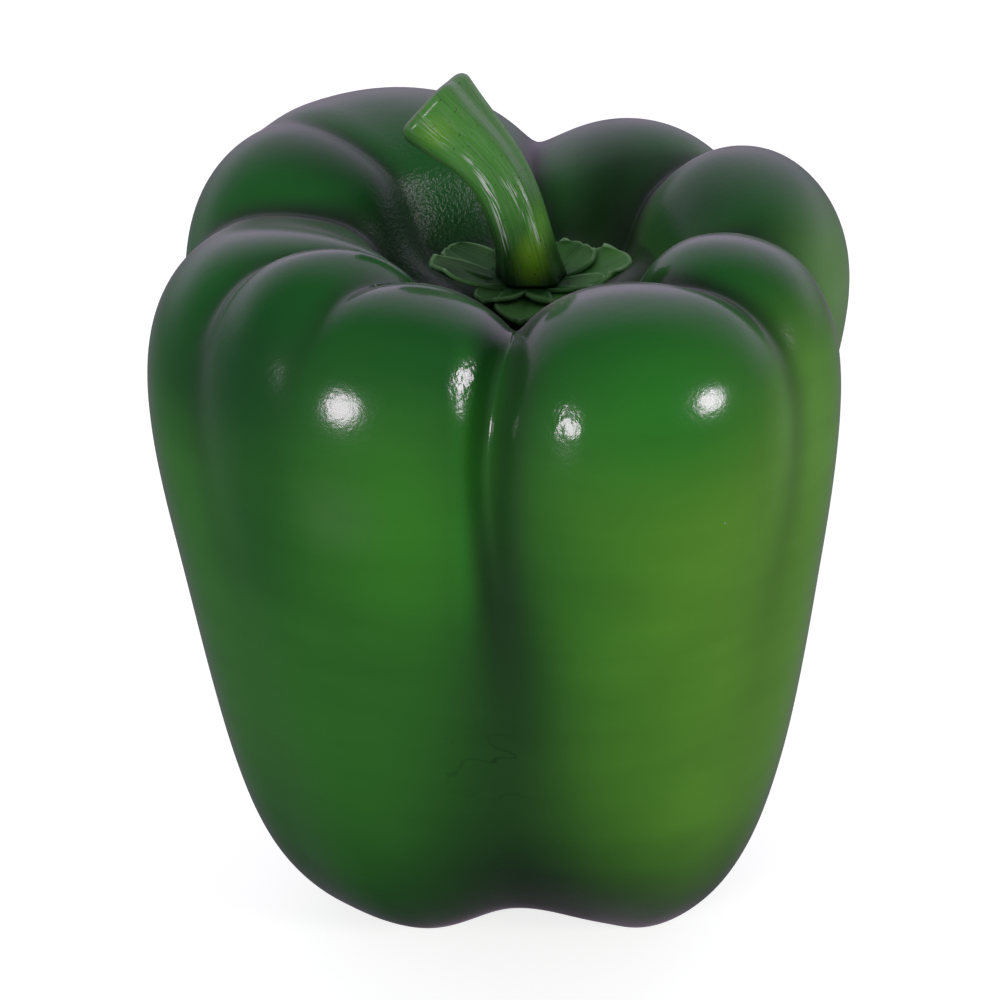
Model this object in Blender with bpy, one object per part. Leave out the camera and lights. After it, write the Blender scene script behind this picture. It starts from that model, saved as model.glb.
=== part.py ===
"""A bell pepper standing upright: the fruit, the calyx in its pit and the cut stem.

The fruit is blocky. Four deep grooves run from the pit down to the base and part it into four
lobes, which stand on the ground. Five shallower creases part those lobes again at the shoulder.
Metres, +Z up, with the front towards -Y. The origin is on the ground under the middle of the
whole pepper's box. Azimuths are in degrees, anticlockwise from +X, about the fruit's axis.
"""

from collections import namedtuple

import bmesh
import bpy
import numpy as np

# Where the fruit's axis stands, so that the pepper's box is centred over the origin.
AXIS_X = 0.0004
AXIS_Y = -0.0001

# The mean lobe's outline as (radius, height), over the crest from the pit to the middle of the base.
OUTLINE = {
    "pit": (0.0000, 0.0825),
    "pit_edge": (0.0090, 0.0825),
    "inner_wall": (0.0135, 0.0860),
    "inner_crest": (0.0175, 0.0930),
    "crest": (0.0290, 0.0990),
    "outer_crest": (0.0395, 0.0970),
    "shoulder": (0.0455, 0.0905),
    "widest": (0.0480, 0.0700),
    "belly": (0.0450, 0.0530),
    "waist": (0.0410, 0.0310),
    "ankle": (0.0365, 0.0140),
    "heel": (0.0300, 0.0035),
    "foot": (0.0205, -0.0020),
    "arch": (0.0120, 0.0000),
    "navel": (0.0000, 0.0035),
}

# A groove's depths and turns, and how soft its bottom is, are given at these places of the outline.
STATIONS = ("inner_wall", "crest", "shoulder", "belly", "ankle", "foot")
GROOVE_SOFTNESS = (0.25, 0.12, 0.15, 0.7, 1.2, 1.0)
FRONT_SOFTNESS = (0.25, 0.12, 0.15, 0.45, 0.9, 1.0)
CREASE_SOFTNESS = (0.30, 0.12, 0.30, 1.2, 1.5, 1.5)
SHARPEST = 0.1

# Depth in metres, half width and turn in degrees. A list stops where the rest of it is 0. A cleft is a
# narrow cut in a groove's middle.
CLEFT_HALF_WIDTH = 3.4
CLEFT_SOFTNESS = 0.5
Groove = namedtuple("Groove", "azimuth half_width depths turns softness cleft", defaults=[()])
GROOVES = {
    "front": Groove(-93, 21, (0.005, 0.0075, 0.008, 0.006, 0.0065, 0.0095),
                    (-1, 3, 0, 2, 5, 8), FRONT_SOFTNESS, (0.001, 0.0014, 0.0035, 0.001)),
    "front_right": Groove(-46, 9.5, (0.0035, 0.0055, 0.0045, 0.0015),
                          (-10, -2, 5, 3, -1), CREASE_SOFTNESS),
    "right": Groove(-6, 19.5, (0.005, 0.0095, 0.0105, 0.007, 0.004, 0.004),
                    (1, -3, -5, 3, 1), GROOVE_SOFTNESS),
    "back_right": Groove(45, 12, (0.0035, 0.007, 0.0045, 0.002),
                         (-1, -2, -5), CREASE_SOFTNESS),
    "back": Groove(85, 18.5, (0.005, 0.0095, 0.009, 0.0065, 0.005, 0.005),
                   (1, -1, -2), GROOVE_SOFTNESS),
    "back_left": Groove(141, 14, (0.0035, 0.0035, 0.001, 0.0015),
                        (-1, 2, 4), CREASE_SOFTNESS),
    "left": Groove(171, 18, (0.005, 0.010, 0.008, 0.0055, 0.0045, 0.0045),
                   (-4, 0, 4, -2), GROOVE_SOFTNESS),
    "front_left": Groove(213, 9, (0.0035, 0.0045, 0.004, 0.001, 0.001),
                         (10, -1, -4, 3, 5), CREASE_SOFTNESS),
    "front_left_low": Groove(235, 8, (0.003, 0.004, 0.002),
                             (-1, 0, -2, -8, -8), CREASE_SOFTNESS),
}

# How far each lobe reaches out, as a share of the outline's radius, and how much its crest and its
# foot are lifted. The feet's values level them, so that the pepper stands on all four lobes.
Lobe = namedtuple("Lobe", "azimuth reach lift foot")
LOBES = (
    Lobe(-68, 1.020, -0.0015, -0.0001),
    Lobe(-31, 1.040, 0.0010, -0.0021),
    Lobe(5, 1.000, 0.0015, 0.0000),
    Lobe(55, 1.020, 0.0005, 0.0000),
    Lobe(112, 1.000, 0.0023, -0.0002),
    Lobe(158, 0.955, 0.0040, -0.0002),
    Lobe(194, 1.000, -0.0020, -0.0009),
    Lobe(223, 0.940, 0.0000, 0.0005),
    Lobe(252, 0.915, -0.0032, -0.0010),
)
LOBE_FOCUS = 20.0
LIFT_HEIGHTS = (0.030, 0.090)
LIFT_RADII = (0.006, 0.022)
FOOT_HEIGHTS = (0.004, 0.024)

# The pit and the calyx sit a little right of the fruit's axis.
PIT_SHIFT = 0.003
PIT_SHIFT_RADII = (0.010, 0.034)

# Grooves are cut towards this line inside the lobes: its radius, middle height and half length.
CORE_RADIUS = 0.024
CORE_MIDDLE = 0.048
CORE_HALF = 0.026

# The fruit's grid: faces across each lobe, faces from pit to navel, and how they crowd at the grooves.
LOBE_COLUMNS = 7
FRUIT_ROWS = 54
GROOVE_CROWDING = 0.35
WELD_DISTANCE = 0.00001
GROUND_SNAP = 0.00005

# The calyx: a disc in the pit with sepals that spread from it, each a cupped blade.
DISC_TOP = 0.0842
DISC_THICKNESS = 0.0014
DISC_RADIUS = 0.0052
DISC_SIDES = 36
SEPAL_ROOT_RADIUS = 0.0025
SEPAL_THICKNESS = 0.0008
SEPAL_SINK = 0.0004
SEPAL_CUP = 0.0008
SEPAL_COLUMNS = 8
SEPAL_ROWS = 9
SEPAL_WIDEST = 0.62
SEPAL_ROOT_SHARE = 0.55
SEPAL_ROUNDING = 0.85
# A sepal's bluntness is how much of its width is left at the tip, which is rounded off from there.
Sepal = namedtuple("Sepal", "azimuth length width tip_height bluntness")
SEPALS = (
    Sepal(2, 0.0122, 0.0105, 0.0870, 0.85),
    Sepal(46, 0.0095, 0.0075, 0.0866, 0.60),
    Sepal(98, 0.0105, 0.0070, 0.0862, 0.50),
    Sepal(150, 0.0120, 0.0075, 0.0864, 0.50),
    Sepal(192, 0.0124, 0.0080, 0.0876, 0.60),
    Sepal(238, 0.0110, 0.0050, 0.0856, 0.50),
    Sepal(264, 0.0138, 0.0068, 0.0846, 0.25),
    Sepal(292, 0.0110, 0.0065, 0.0858, 0.50),
    Sepal(327, 0.0100, 0.0060, 0.0862, 0.50),
)

# The stem's middle line, in the pit's own x and y, with the stem's half width there.
StemPoint = namedtuple("StemPoint", "x y z radius")
STEM_LINE = (
    StemPoint(0.0000, 0.0000, 0.0845, 0.0042),
    StemPoint(-0.0005, 0.0000, 0.0870, 0.0037),
    StemPoint(-0.0018, 0.0000, 0.0920, 0.0035),
    StemPoint(-0.0036, 0.0005, 0.0963, 0.0036),
    StemPoint(-0.0068, 0.0015, 0.1004, 0.0041),
    StemPoint(-0.0100, 0.0025, 0.1032, 0.0049),
    StemPoint(-0.0124, 0.0034, 0.1053, 0.0055),
)
STEM_RIDGES = 5
STEM_RIDGE_DEPTH = 0.08
STEM_RIDGE_AZIMUTH = -54
STEM_SIDES = 30
STEM_ROWS = 18
STEM_UPRIGHT = 0.2
CUT_RIM = 0.0012
CUT_RIM_STEPS = 3
CUT_DISH = 0.0005

# Base colour, roughness and metallic value of each piece.
FRUIT_FINISH = ((0.030, 0.150, 0.022, 1.0), 0.18, 0.0)
CALYX_FINISH = ((0.035, 0.120, 0.028, 1.0), 0.35, 0.0)
STEM_FINISH = ((0.075, 0.220, 0.030, 1.0), 0.30, 0.0)


def clear_scene():
    for old in list(bpy.data.objects):
        bpy.data.objects.remove(old, do_unlink=True)


def make_material(name, finish):
    colour, roughness, metallic = finish
    material = bpy.data.materials.new(name)
    material.use_nodes = True
    shader = material.node_tree.nodes["Principled BSDF"]
    shader.inputs["Base Color"].default_value = colour
    shader.inputs["Roughness"].default_value = roughness
    shader.inputs["Metallic"].default_value = metallic
    return material


def ease(value, low, high):
    """0 below low and 1 above high, smooth between them."""
    share = np.clip((value - low) / (high - low), 0.0, 1.0)
    return share * share * (3.0 - 2.0 * share)


def spline(knots, values, places):
    """Natural cubic spline through values (one row a knot), read at an array of places."""
    knots = np.asarray(knots, float)
    values = np.asarray(values, float).reshape(len(knots), -1)
    gaps = np.diff(knots)
    slopes = np.diff(values, axis=0) / gaps[:, None]
    system = np.eye(len(knots))
    bends = np.zeros_like(values)
    for i in range(1, len(knots) - 1):
        system[i, i - 1:i + 2] = gaps[i - 1], 2.0 * (gaps[i - 1] + gaps[i]), gaps[i]
        bends[i] = 6.0 * (slopes[i] - slopes[i - 1])
    bends = np.linalg.solve(system, bends)
    k = np.clip(np.searchsorted(knots, places, side="right") - 1, 0, len(gaps) - 1)
    gap = gaps[k][:, None]
    after = (places - knots[k])[:, None] / gap
    before = 1.0 - after
    curve = before * values[k] + after * values[k + 1]
    curve += ((before ** 3 - before) * bends[k] + (after ** 3 - after) * bends[k + 1]) * gap ** 2 / 6.0
    return curve


def outline_places():
    """Each named point's place along the outline, from 0 at the pit to 1 at the navel."""
    points = np.array(list(OUTLINE.values()))
    along = np.concatenate([[0.0], np.cumsum(np.linalg.norm(np.diff(points, axis=0), axis=1))])
    return dict(zip(OUTLINE, along / along[-1]))


def at_stations(values, places, ends):
    """A groove's value, given at the stations and at the outline's two ends, read at the places."""
    known = outline_places()
    knots = [0.0] + [known[station] for station in STATIONS] + [1.0]
    padded = list(values) + [0.0] * (len(STATIONS) - len(values))
    return spline(knots, [ends[0]] + padded + [ends[1]], places)[:, 0]


def groove_azimuth(groove, places):
    first = groove.turns[0]
    last = groove.turns[-1] if len(groove.turns) == len(STATIONS) else 0.0
    return np.radians(groove.azimuth + at_stations(groove.turns, places, (first, last)))


def valley(aside, softness):
    """A groove's profile: 1 in its middle, with a round or sharp bottom, and less to its sides."""
    return np.exp(softness - np.sqrt(aside ** 2 + softness ** 2))


def groove_cut(groove, azimuths, places):
    """How deep the groove cuts into the skin at these azimuths and places."""
    depth = np.maximum(at_stations(groove.depths, places, (0.0, 0.0)), 0.0)
    softness = at_stations(groove.softness, places, (groove.softness[0], groove.softness[-1]))
    softness = np.maximum(softness, SHARPEST)
    cleft = np.maximum(at_stations(groove.cleft, places, (0.0, 0.0)), 0.0)
    turn = np.degrees(np.angle(np.exp(1j * (azimuths - groove_azimuth(groove, places)))))
    return (depth * valley(turn / groove.half_width, softness)
            + cleft * valley(turn / CLEFT_HALF_WIDTH, CLEFT_SOFTNESS))


def lobe_shape(azimuths):
    """Reach, lift and foot at these azimuths, blended from the lobes around them."""
    lobes = np.array(LOBES)
    weights = np.exp(LOBE_FOCUS * (np.cos(azimuths[:, None] - np.radians(lobes[:, 0])) - 1.0))
    weights /= weights.sum(axis=1, keepdims=True)
    return (weights @ lobes[:, 1:]).T


def fruit_points(azimuths, places):
    """Points of the fruit's skin at azimuths (radians) and places along the outline."""
    known = outline_places()
    radius, height = spline(list(known.values()), list(OUTLINE.values()), places).T
    core = CORE_MIDDLE + CORE_HALF * np.tanh((height - CORE_MIDDLE) / CORE_HALF)
    out = radius - CORE_RADIUS
    up = height - core
    length = np.hypot(out, up)
    cut = sum(groove_cut(groove, azimuths, places) for groove in GROOVES.values())
    reach, lift, foot = lobe_shape(azimuths)
    lift = lift * ease(height, *LIFT_HEIGHTS) + foot * (1.0 - ease(height, *FOOT_HEIGHTS))
    lift *= ease(radius, *LIFT_RADII)
    radius = np.maximum((radius - cut * out / length) * reach, 0.0)
    height = height - cut * up / length + lift
    shift = PIT_SHIFT * (1.0 - ease(radius, *PIT_SHIFT_RADII)) * (places < known["widest"])
    x = AXIS_X + radius * np.cos(azimuths) + shift
    y = AXIS_Y + radius * np.sin(azimuths)
    return np.column_stack([x, y, height])


def lobe_azimuths(turn, places):
    """Azimuths for turn 0 to 1 round the fruit, with every lobe getting the same share of it."""
    sides = np.array([groove_azimuth(groove, places) for groove in GROOVES.values()])
    sides = np.vstack([sides, sides[0] + 2.0 * np.pi])
    lobe = np.clip(turn * len(GROOVES), 0.0, len(GROOVES) - 1e-9)
    k = np.floor(lobe + 1e-6).astype(int).clip(0, len(GROOVES) - 1)
    across = lobe - k
    across = across - GROOVE_CROWDING * np.sin(2.0 * np.pi * across) / (2.0 * np.pi)
    row = np.arange(len(places))
    return sides[k, row] * (1.0 - across) + sides[k + 1, row] * across


def sheet_mesh(columns, rows, place):
    """A grid whose points place(u, v) moves, u across and v up from 0 to 1, welded where it meets."""
    mesh = bmesh.new()
    bmesh.ops.create_grid(mesh, x_segments=columns, y_segments=rows, size=0.5)
    u, v = np.array([vertex.co[:2] for vertex in mesh.verts]).T + 0.5
    for vertex, point in zip(mesh.verts, place(u, v)):
        vertex.co = point
    bmesh.ops.remove_doubles(mesh, verts=mesh.verts, dist=WELD_DISTANCE)
    return mesh


def finish_object(name, mesh, finish):
    data = bpy.data.meshes.new(name)
    mesh.to_mesh(data)
    mesh.free()
    data.shade_smooth()
    data.materials.append(make_material(name, finish))
    piece = bpy.data.objects.new(name, data)
    bpy.context.scene.collection.objects.link(piece)
    return piece


def flatten_feet(mesh):
    """Cuts off what reaches below the ground, which leaves a small flat spot under each main lobe."""
    for vertex in mesh.verts:
        if abs(vertex.co.z) < GROUND_SNAP:
            vertex.co.z = 0.0
    everything = mesh.verts[:] + mesh.edges[:] + mesh.faces[:]
    bmesh.ops.bisect_plane(mesh, geom=everything, plane_co=(0, 0, 0), plane_no=(0, 0, 1), dist=1e-7,
                           clear_inner=True)
    rims = [edge for edge in mesh.edges if edge.is_boundary]
    bmesh.ops.holes_fill(mesh, edges=rims)
    bmesh.ops.recalc_face_normals(mesh, faces=mesh.faces)


def build_fruit():
    def place(u, v):
        places = 1.0 - v
        return fruit_points(lobe_azimuths(u, places), places)

    mesh = sheet_mesh(LOBE_COLUMNS * len(GROOVES), FRUIT_ROWS, place)
    flatten_feet(mesh)
    return finish_object("fruit", mesh, FRUIT_FINISH)


def sepal_points(sepal, across, along):
    """Points of a sepal's upper face: across from -1 to 1, along from 0 at its root to 1 at its tip."""
    swell = SEPAL_ROOT_SHARE + (1.0 - SEPAL_ROOT_SHARE) * np.sin(0.5 * np.pi * along / SEPAL_WIDEST)
    past = np.clip((along - SEPAL_WIDEST) / (1.0 - SEPAL_WIDEST), 0.0, 1.0)
    close = 1.0 - (1.0 - sepal.bluntness) * past ** 2
    half = 0.5 * sepal.width * np.where(along < SEPAL_WIDEST, swell, close)
    rounding = SEPAL_ROUNDING * sepal.bluntness ** 2 * 0.5 * sepal.width
    forward = SEPAL_ROOT_RADIUS + (sepal.length - SEPAL_ROOT_RADIUS) * along
    forward -= rounding * across ** 2 * along ** 3
    rise = (sepal.tip_height - DISC_TOP) * along ** 2
    height = DISC_TOP - SEPAL_SINK + rise + SEPAL_CUP * across ** 2 * np.sin(np.pi * along)
    angle = np.radians(sepal.azimuth)
    x = AXIS_X + PIT_SHIFT + forward * np.cos(angle) + half * across * np.sin(angle)
    y = AXIS_Y + forward * np.sin(angle) - half * across * np.cos(angle)
    return np.column_stack([x, y, height])


def build_sepal(sepal, group):
    def place(u, v):
        return sepal_points(sepal, 2.0 * u - 1.0, v)

    mesh = sheet_mesh(SEPAL_COLUMNS, SEPAL_ROWS, place)
    bmesh.ops.triangulate(mesh, faces=mesh.faces)
    bmesh.ops.solidify(mesh, geom=mesh.faces, thickness=SEPAL_THICKNESS)
    bmesh.ops.recalc_face_normals(mesh, faces=mesh.faces)
    blade = finish_object("sepal", mesh, CALYX_FINISH)
    bpy.context.scene.collection.objects.unlink(blade)
    group.objects.link(blade)


def build_disc():
    mesh = bmesh.new()
    bmesh.ops.create_cone(mesh, cap_ends=True, segments=DISC_SIDES, radius1=DISC_RADIUS,
                          radius2=DISC_RADIUS, depth=DISC_THICKNESS)
    middle = (AXIS_X + PIT_SHIFT, AXIS_Y, DISC_TOP - DISC_THICKNESS / 2.0)
    bmesh.ops.translate(mesh, verts=mesh.verts, vec=middle)
    return finish_object("calyx", mesh, CALYX_FINISH)


def weld_slivers(data):
    """Closes the hair-thin faces that a Boolean leaves."""
    mesh = bmesh.new()
    mesh.from_mesh(data)
    bmesh.ops.triangulate(mesh, faces=mesh.faces)
    bmesh.ops.dissolve_degenerate(mesh, edges=mesh.edges, dist=WELD_DISTANCE)
    bmesh.ops.triangulate(mesh, faces=mesh.faces)
    mesh.to_mesh(data)
    mesh.free()


def build_calyx():
    """The disc with all sepals joined to it as one body."""
    group = bpy.data.collections.new("sepals")
    bpy.context.scene.collection.children.link(group)
    for sepal in SEPALS:
        build_sepal(sepal, group)
    calyx = build_disc()
    union = calyx.modifiers.new("union", "BOOLEAN")
    union.operation = "UNION"
    union.operand_type = "COLLECTION"
    union.collection = group
    union.solver = "EXACT"
    depsgraph = bpy.context.evaluated_depsgraph_get()
    joined = bpy.data.meshes.new_from_object(calyx.evaluated_get(depsgraph))
    calyx.modifiers.remove(union)
    calyx.data = joined
    weld_slivers(joined)
    for blade in list(group.objects):
        bpy.data.objects.remove(blade, do_unlink=True)
    bpy.data.collections.remove(group)
    return calyx


def stem_points(turn, along):
    """Points of the stem's side: turn from 0 to 1 round it, along from 0 at its foot to 1 at the cut."""
    line = np.array([(point.x, point.y, point.z) for point in STEM_LINE])
    lengths = np.concatenate([[0.0], np.cumsum(np.linalg.norm(np.diff(line, axis=0), axis=1))])
    knots = lengths / lengths[-1]
    middle = spline(knots, line, along)
    radius = spline(knots, [point.radius for point in STEM_LINE], along)
    step = 0.01
    forward = spline(knots, line, along + step) - spline(knots, line, along - step)
    forward[:, :2] *= ease(along, 0.0, STEM_UPRIGHT)[:, None]
    forward /= np.linalg.norm(forward, axis=1, keepdims=True)
    right = np.cross([0.0, 1.0, 0.0], forward)
    right /= np.linalg.norm(right, axis=1, keepdims=True)
    back = np.cross(forward, right)
    angle = 2.0 * np.pi * turn
    ridge = np.cos(STEM_RIDGES * (angle - np.radians(STEM_RIDGE_AZIMUTH)))
    reach = radius * (1.0 + STEM_RIDGE_DEPTH * ridge)[:, None]
    points = middle + reach * (right * np.cos(angle)[:, None] + back * np.sin(angle)[:, None])
    return points + [AXIS_X + PIT_SHIFT, AXIS_Y, 0.0]


def close_cut(mesh):
    """Closes both ends of the stem. The upper one, where it was cut, is dished and its rim rounded."""
    rims = [edge for edge in mesh.edges if edge.is_boundary]
    ends = bmesh.ops.edgeloop_fill(mesh, edges=rims)["faces"]
    cut = max(ends, key=lambda face: face.calc_center_median().z)
    bmesh.ops.recalc_face_normals(mesh, faces=mesh.faces)
    rim = list(cut.edges)
    bmesh.ops.inset_individual(mesh, faces=[cut], thickness=2.0 * CUT_RIM)
    bmesh.ops.translate(mesh, verts=cut.verts, vec=-CUT_DISH * cut.normal)
    bmesh.ops.bevel(mesh, geom=rim, offset=CUT_RIM, offset_type="OFFSET", segments=CUT_RIM_STEPS,
                    profile=0.5, affect="EDGES", material=-1)


def build_stem():
    mesh = sheet_mesh(STEM_SIDES, STEM_ROWS, stem_points)
    close_cut(mesh)
    return finish_object("stem", mesh, STEM_FINISH)


def main():
    clear_scene()
    build_fruit()
    build_calyx()
    build_stem()


main()
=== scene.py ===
"""The bell pepper's looks: a fine skin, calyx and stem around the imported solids, and a studio.

The fruit, the sepals and the stem follow the same outline, grooves, lobes and lines as the solids,
with finer grids and a smoother cut end. Metres, +Z up, with the front towards -Y.
"""

import math
from collections import namedtuple

import bmesh
import bpy
import numpy as np
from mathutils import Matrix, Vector


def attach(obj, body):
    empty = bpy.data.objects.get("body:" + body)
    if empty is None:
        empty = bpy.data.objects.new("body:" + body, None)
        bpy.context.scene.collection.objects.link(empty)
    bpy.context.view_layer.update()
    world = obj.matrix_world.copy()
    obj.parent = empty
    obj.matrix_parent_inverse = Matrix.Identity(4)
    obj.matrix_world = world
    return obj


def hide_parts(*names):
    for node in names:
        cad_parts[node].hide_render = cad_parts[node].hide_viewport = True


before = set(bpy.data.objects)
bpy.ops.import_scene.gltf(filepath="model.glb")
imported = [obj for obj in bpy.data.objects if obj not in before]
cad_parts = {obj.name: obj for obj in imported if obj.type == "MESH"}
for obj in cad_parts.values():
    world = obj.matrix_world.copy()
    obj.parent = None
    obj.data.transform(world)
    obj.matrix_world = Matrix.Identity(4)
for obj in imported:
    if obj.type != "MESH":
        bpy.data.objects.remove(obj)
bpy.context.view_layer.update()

# Where the fruit's axis stands.
AXIS_X = 0.0004
AXIS_Y = -0.0001

# The mean lobe's outline as (radius, height), over the crest from the pit to the middle of the base.
OUTLINE = {
    "pit": (0.0000, 0.0825),
    "pit_edge": (0.0090, 0.0825),
    "inner_wall": (0.0135, 0.0860),
    "inner_crest": (0.0175, 0.0930),
    "crest": (0.0290, 0.0990),
    "outer_crest": (0.0395, 0.0970),
    "shoulder": (0.0455, 0.0905),
    "widest": (0.0480, 0.0700),
    "belly": (0.0450, 0.0530),
    "waist": (0.0410, 0.0310),
    "ankle": (0.0365, 0.0140),
    "heel": (0.0300, 0.0035),
    "foot": (0.0205, -0.0020),
    "arch": (0.0120, 0.0000),
    "navel": (0.0000, 0.0035),
}

# A groove's depths and turns, and how soft its bottom is, are given at these places of the outline.
STATIONS = ("inner_wall", "crest", "shoulder", "belly", "ankle", "foot")
GROOVE_SOFTNESS = (0.25, 0.12, 0.15, 0.7, 1.2, 1.0)
FRONT_SOFTNESS = (0.25, 0.12, 0.15, 0.45, 0.9, 1.0)
CREASE_SOFTNESS = (0.30, 0.12, 0.30, 1.2, 1.5, 1.5)
SHARPEST = 0.1

# Depth in metres, half width and turn in degrees. A list stops where the rest of it is 0. A cleft is a
# narrow cut in a groove's middle.
CLEFT_HALF_WIDTH = 3.4
CLEFT_SOFTNESS = 0.5
Groove = namedtuple("Groove", "azimuth half_width depths turns softness cleft", defaults=[()])
GROOVES = {
    "front": Groove(-93, 21, (0.005, 0.0075, 0.008, 0.006, 0.0065, 0.0095),
                    (-1, 3, 0, 2, 5, 8), FRONT_SOFTNESS, (0.001, 0.0014, 0.0035, 0.001)),
    "front_right": Groove(-46, 9.5, (0.0035, 0.0055, 0.0045, 0.0015),
                          (-10, -2, 5, 3, -1), CREASE_SOFTNESS),
    "right": Groove(-6, 19.5, (0.005, 0.0095, 0.0105, 0.007, 0.004, 0.004),
                    (1, -3, -5, 3, 1), GROOVE_SOFTNESS),
    "back_right": Groove(45, 12, (0.0035, 0.007, 0.0045, 0.002),
                         (-1, -2, -5), CREASE_SOFTNESS),
    "back": Groove(85, 18.5, (0.005, 0.0095, 0.009, 0.0065, 0.005, 0.005),
                   (1, -1, -2), GROOVE_SOFTNESS),
    "back_left": Groove(141, 14, (0.0035, 0.0035, 0.001, 0.0015),
                        (-1, 2, 4), CREASE_SOFTNESS),
    "left": Groove(171, 18, (0.005, 0.010, 0.008, 0.0055, 0.0045, 0.0045),
                   (-4, 0, 4, -2), GROOVE_SOFTNESS),
    "front_left": Groove(213, 9, (0.0035, 0.0045, 0.004, 0.001, 0.001),
                         (10, -1, -4, 3, 5), CREASE_SOFTNESS),
    "front_left_low": Groove(235, 8, (0.003, 0.004, 0.002),
                             (-1, 0, -2, -8, -8), CREASE_SOFTNESS),
}

# A groove's painted shade at the stations, partly the skin's own darker green in the grooves: its width,
# how far it lies to the groove's right side and its strength. It weakens where the groove is shallower than
# the full depth. The front groove has its own.
Shade = namedtuple("Shade", "widths sides strengths")
SHADE = Shade((0.002, 0.0015, 0.002, 0.0045, 0.010, 0.012), (0.0,), (1.0, 1.0, 0.8, 0.8, 0.9, 1.0))
FRONT_SHADE = Shade((0.002, 0.0030, 0.0030, 0.0068, 0.016, 0.016),
                    (0.0, 0.0020, 0.0031, 0.0006, 0.0010, 0.001), (1.0, 0.9, 0.75, 0.93, 1.0, 1.0))
SHADE_NARROWEST = 0.0012
SHADE_DEPTH = 0.0065

# How far each lobe reaches out, as a share of the outline's radius, and how much its crest and its
# foot are lifted.
Lobe = namedtuple("Lobe", "azimuth reach lift foot")
LOBES = (
    Lobe(-68, 1.020, -0.0015, -0.0001),
    Lobe(-31, 1.040, 0.0010, -0.0021),
    Lobe(5, 1.000, 0.0015, 0.0000),
    Lobe(55, 1.020, 0.0005, 0.0000),
    Lobe(112, 1.000, 0.0023, -0.0002),
    Lobe(158, 0.955, 0.0040, -0.0002),
    Lobe(194, 1.000, -0.0020, -0.0009),
    Lobe(223, 0.940, 0.0000, 0.0005),
    Lobe(252, 0.915, -0.0032, -0.0010),
)
LOBE_FOCUS = 20.0
LIFT_HEIGHTS = (0.030, 0.090)
LIFT_RADII = (0.006, 0.022)
FOOT_HEIGHTS = (0.004, 0.024)

# The pit and the calyx sit a little right of the fruit's axis.
PIT_SHIFT = 0.003
PIT_SHIFT_RADII = (0.010, 0.034)

# Grooves are cut towards this line inside the lobes: its radius, middle height and half length.
CORE_RADIUS = 0.024
CORE_MIDDLE = 0.048
CORE_HALF = 0.026

# The skin's grid: faces across each lobe, faces from pit to navel, and how they crowd at the grooves.
LOBE_COLUMNS = 40
FRUIT_ROWS = 220
GROOVE_CROWDING = 0.35
WELD_DISTANCE = 0.00001
CUT_DISTANCE = 0.000001
# Steps too small to see, which keep a column on its own side of a groove.
SEAM_NUDGE = 1e-9
COLUMN_NUDGE = 1e-6

# The calyx: a spun disc in the pit, whose profile is (radius, height), with thin sepals that spread from
# it. SEPAL_WIDEST and SEPAL_FOLD_WIDTH are shares of a sepal's length and of half its width.
DISC_TOP = 0.0842
DISC_PROFILE = (
    (0.0012, 0.0830),
    (0.0060, 0.0831),
    (0.0066, 0.0836),
    (0.0058, 0.0841),
    (0.0012, 0.0842),
)
DISC_STEPS = 72
SEPAL_ROOT_RADIUS = 0.0025
SEPAL_THICKNESS = 0.0005
SEPAL_SINK = 0.0004
SEPAL_HOLLOW = 0.0008
SEPAL_COLUMNS = 20
SEPAL_ROWS = 22
SEPAL_WIDEST = 0.62
SEPAL_ROOT_SHARE = 0.55
SEPAL_ROUNDING = 0.85
SEPAL_FOLD = 0.00025
SEPAL_FOLD_WIDTH = 0.16
SEPAL_RIPPLE = 0.00012
SEPAL_RIPPLE_TURNS = 9.0
# A sepal's bluntness is how much of its width is left at the tip, which is rounded off from there.
Sepal = namedtuple("Sepal", "azimuth length width tip_height bluntness")
SEPALS = (
    Sepal(2, 0.0122, 0.0105, 0.0870, 0.85),
    Sepal(46, 0.0095, 0.0075, 0.0866, 0.60),
    Sepal(98, 0.0105, 0.0070, 0.0862, 0.50),
    Sepal(150, 0.0120, 0.0075, 0.0864, 0.50),
    Sepal(192, 0.0124, 0.0080, 0.0876, 0.60),
    Sepal(238, 0.0110, 0.0050, 0.0856, 0.50),
    Sepal(264, 0.0138, 0.0068, 0.0846, 0.25),
    Sepal(292, 0.0110, 0.0065, 0.0858, 0.50),
    Sepal(327, 0.0100, 0.0060, 0.0862, 0.50),
)

# The stem's middle line, in the pit's own x and y, with the stem's half width there. Below STEM_UPRIGHT,
# a share of its length, the stem's rings turn level, and LINE_STEP is the share that reads its direction.
StemPoint = namedtuple("StemPoint", "x y z radius")
STEM_LINE = (
    StemPoint(0.0000, 0.0000, 0.0845, 0.0042),
    StemPoint(-0.0005, 0.0000, 0.0870, 0.0037),
    StemPoint(-0.0018, 0.0000, 0.0920, 0.0035),
    StemPoint(-0.0036, 0.0005, 0.0963, 0.0036),
    StemPoint(-0.0068, 0.0015, 0.1004, 0.0041),
    StemPoint(-0.0100, 0.0025, 0.1032, 0.0049),
    StemPoint(-0.0124, 0.0034, 0.1053, 0.0055),
)
LINE_STEP = 0.01
STEM_RIDGES = 5
STEM_RIDGE_DEPTH = 0.08
STEM_RIDGE_AZIMUTH = -54
STEM_SIDES = 120
STEM_ROWS = 110
STEM_UPRIGHT = 0.2
# The cut end: its round rim's radius, the share of the grid's rows below the rim, where the cut's colour
# starts among them, and how deep the cut face is dished.
CUT_RIM = 0.0012
CUT_RIM_START = 0.9
CUT_COLOUR_START = 0.93
CUT_DISH = 0.0005

# The photo's camera, about the fruit's axis.
CAMERA_AZIMUTH = -90
CAMERA_ELEVATION = 25.3
CAMERA_DISTANCE = 0.393
CAMERA_TARGET = (AXIS_X - 0.0008, AXIS_Y, 0.0541)
SENSOR = 36.0
FOCAL_SHARE = 3.111

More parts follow.
